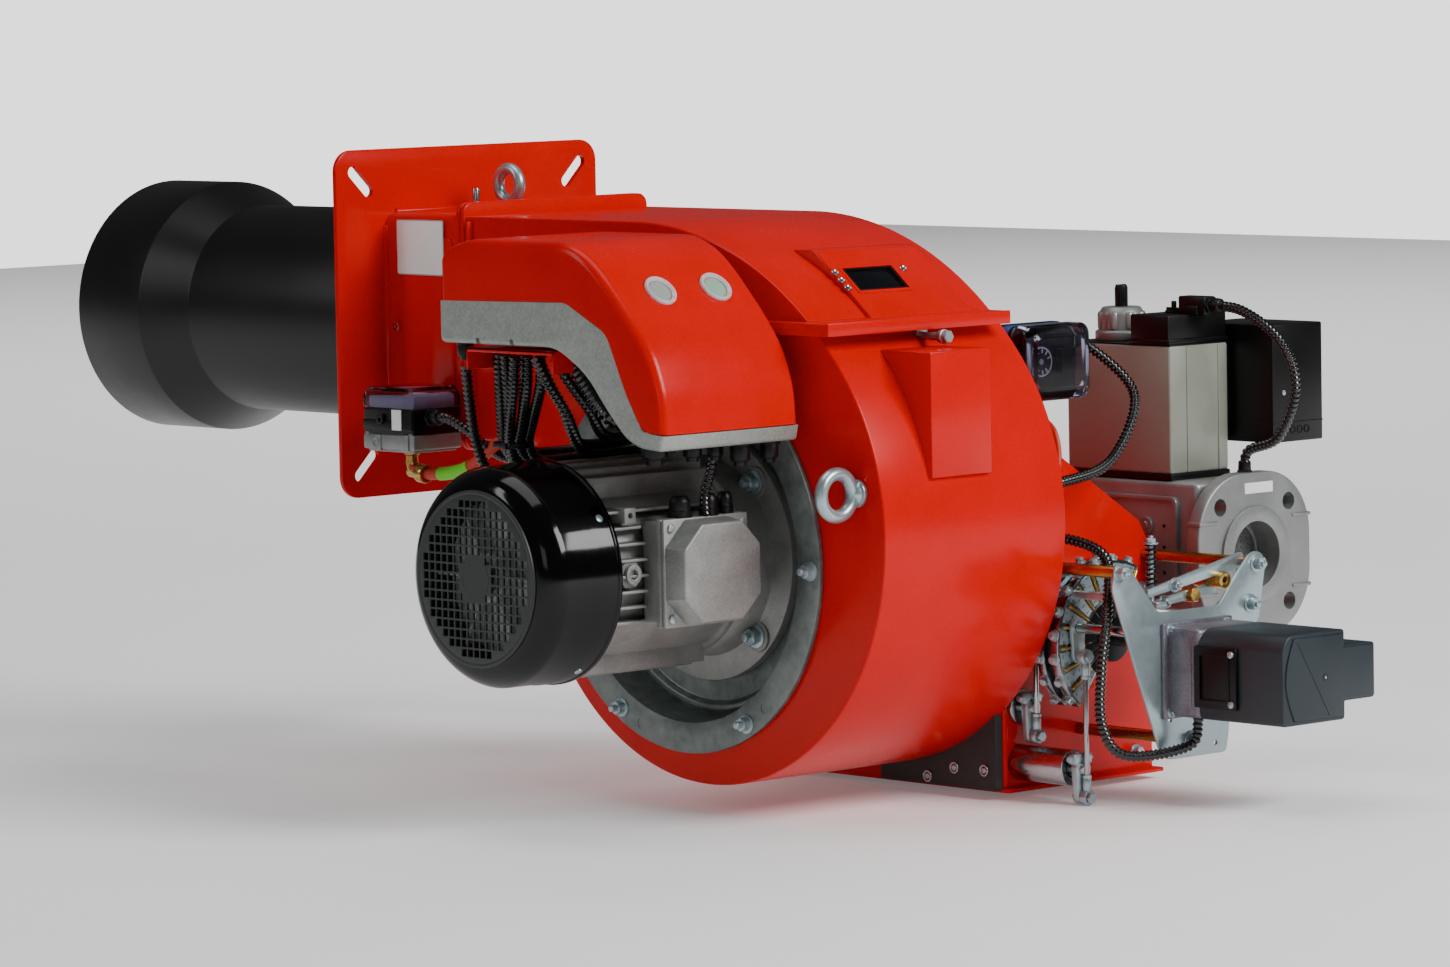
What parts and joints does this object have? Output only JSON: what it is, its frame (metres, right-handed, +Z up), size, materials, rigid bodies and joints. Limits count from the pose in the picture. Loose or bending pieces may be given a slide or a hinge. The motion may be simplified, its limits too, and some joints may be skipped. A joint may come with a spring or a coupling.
{
  "type": "industrial gas burner",
  "caption": "Forced-draught gas burner with blast tube, mounting plate, scroll fan, motor, air dampers on a cam regulator and a flanged gas valve train.",
  "frame": {"origin": "blast tube axis at the boiler-side face of the mounting plate", "axes": "+X from the boiler toward the fan along the blast tube, +Y away from the motor side, +Z up"},
  "size_m": [1.4586, 0.9466, 0.65],
  "materials": {
    "red_paint": "gloss",
    "black_enamel": "satin",
    "cast_aluminium": "cast",
    "zinc_steel": "zinc plated",
    "steel": "satin",
    "hammer_grey": "hammered",
    "black_plastic": "matt",
    "servo_plastic": "matt",
    "coil_housing": "satin",
    "clear_plastic": "clear",
    "lamp_lens": "gloss",
    "ceramic": "gloss",
    "red_rubber": "matt",
    "black_hose": "ribbed"
  },
  "bodies": {
    "burner": {"mounting_plate": "red_paint", "connection_box": "red_paint", "fan_housing": "red_paint", "display_console": "red_paint", "panel_hood": "red_paint", "air_box": "red_paint", "gas_pipe": "red_paint", "blast_tube": "black_enamel", "fan_cowl": "black_enamel", "intake_panel": "black_enamel", "motor_plate": "cast_aluminium", "motor_flange": "cast_aluminium", "motor_body": "cast_aluminium", "terminal_box": "cast_aluminium", "terminal_lid": "cast_aluminium", "servo_base": "cast_aluminium", "gas_valve": "cast_aluminium", "eye_bolt_front": "zinc_steel", "eye_bolt_rear": "zinc_steel", "bearing_tube": "zinc_steel", "regulator_frame": "zinc_steel", "coil_dome": "zinc_steel", "gas_lance": "steel", "flame_disc": "steel", "panel_tray": "hammer_grey", "display_module": "black_plastic", "burner_controller": "black_plastic", "front_switch_body": "black_plastic", "rear_switch_body": "black_plastic", "solenoid_cap": "black_plastic", "actuator_box": "black_plastic", "servo_cover": "servo_plastic", "solenoid_box": "coil_housing", "front_switch_cover": "clear_plastic", "rear_switch_cover": "clear_plastic", "lamp_near": "lamp_lens", "lamp_far": "lamp_lens", "ignition_electrode": "ceramic", "flame_probe": "ceramic", "front_switch_tube": "red_rubber", "rear_switch_tube": "red_rubber", "conduit_bundle": "black_hose", "motor_conduit": "black_hose", "servo_hose": "black_hose", "rear_switch_hose": "black_hose", "valve_hose": "black_hose"},
    "rotor": {"rotor_shaft": "steel", "cooling_fan": "black_plastic", "impeller": "zinc_steel"},
    "cam": {"cam_drum": "zinc_steel"},
    "damper_short_body": {"damper_short": "zinc_steel"},
    "damper_long_body": {"damper_long": "zinc_steel"},
    "rod_short_body": {"rod_short": "steel"},
    "rod_long_body": {"rod_long": "steel"},
    "follower_short_body": {"follower_short": "zinc_steel"},
    "follower_long_body": {"follower_long": "zinc_steel"},
    "butterfly": {"gas_butterfly": "zinc_steel"},
    "dial": {"rear_switch_dial": "black_plastic"},
    "knob": {"dome_knob": "black_plastic"}
  },
  "joints": [
    {"name": "rotor_spin", "type": "hinge", "parent": "burner", "child": "rotor", "pos_m": [0.468, -0.2, -0.217], "axis": [0, 1, 0], "continuous": true},
    {"name": "cam_turn", "type": "hinge", "parent": "burner", "child": "cam", "pos_m": [0.7, 0.2065, -0.311], "axis": [1, 0, 0], "range_deg": [0, 90]},
    {"name": "damper_short_turn", "type": "hinge", "parent": "burner", "child": "damper_short_body", "pos_m": [0.5, 0.15, -0.378], "axis": [1, 0, 0], "range_deg": [0, 90]},
    {"name": "damper_long_turn", "type": "hinge", "parent": "burner", "child": "damper_long_body", "pos_m": [0.5, 0.15, -0.434], "axis": [1, 0, 0], "range_deg": [0, 90]},
    {"name": "rod_short_swing", "type": "hinge", "parent": "damper_short_body", "child": "rod_short_body", "pos_m": [0.679, 0.15, -0.406], "axis": [1, 0, 0], "range_deg": [-90, 0]},
    {"name": "rod_long_swing", "type": "hinge", "parent": "damper_long_body", "child": "rod_long_body", "pos_m": [0.747, 0.15, -0.462], "axis": [1, 0, 0], "range_deg": [-90, 0]},
    {"name": "follower_short_turn", "type": "hinge", "parent": "burner", "child": "follower_short_body", "pos_m": [0.669, 0.15, -0.276], "axis": [1, 0, 0], "range_deg": [0, 90]},
    {"name": "follower_long_turn", "type": "hinge", "parent": "burner", "child": "follower_long_body", "pos_m": [0.737, 0.15, -0.294], "axis": [1, 0, 0], "range_deg": [0, 90]},
    {"name": "butterfly_turn", "type": "hinge", "parent": "burner", "child": "butterfly", "pos_m": [0.3, 0.4285, -0.244], "axis": [0, 0, 1], "range_deg": [0, 90]},
    {"name": "dial_turn", "type": "hinge", "parent": "burner", "child": "dial", "pos_m": [0.653, 0.189, -0.036], "axis": [1, 0, 0], "range_deg": [0, 270]},
    {"name": "knob_turn", "type": "hinge", "parent": "burner", "child": "knob", "pos_m": [0.548, 0.4185, 0.015], "axis": [0, 0, 1], "range_deg": [0, 270]}
  ],
  "couplings": [
    {"joint": "damper_short_turn", "follows": "cam_turn", "ratio": 1},
    {"joint": "damper_long_turn", "follows": "cam_turn", "ratio": 1},
    {"joint": "rod_short_swing", "follows": "cam_turn", "ratio": -1},
    {"joint": "rod_long_swing", "follows": "cam_turn", "ratio": -1},
    {"joint": "follower_short_turn", "follows": "cam_turn", "ratio": 1},
    {"joint": "follower_long_turn", "follows": "cam_turn", "ratio": 1},
    {"joint": "butterfly_turn", "follows": "cam_turn", "ratio": 1}
  ]
}
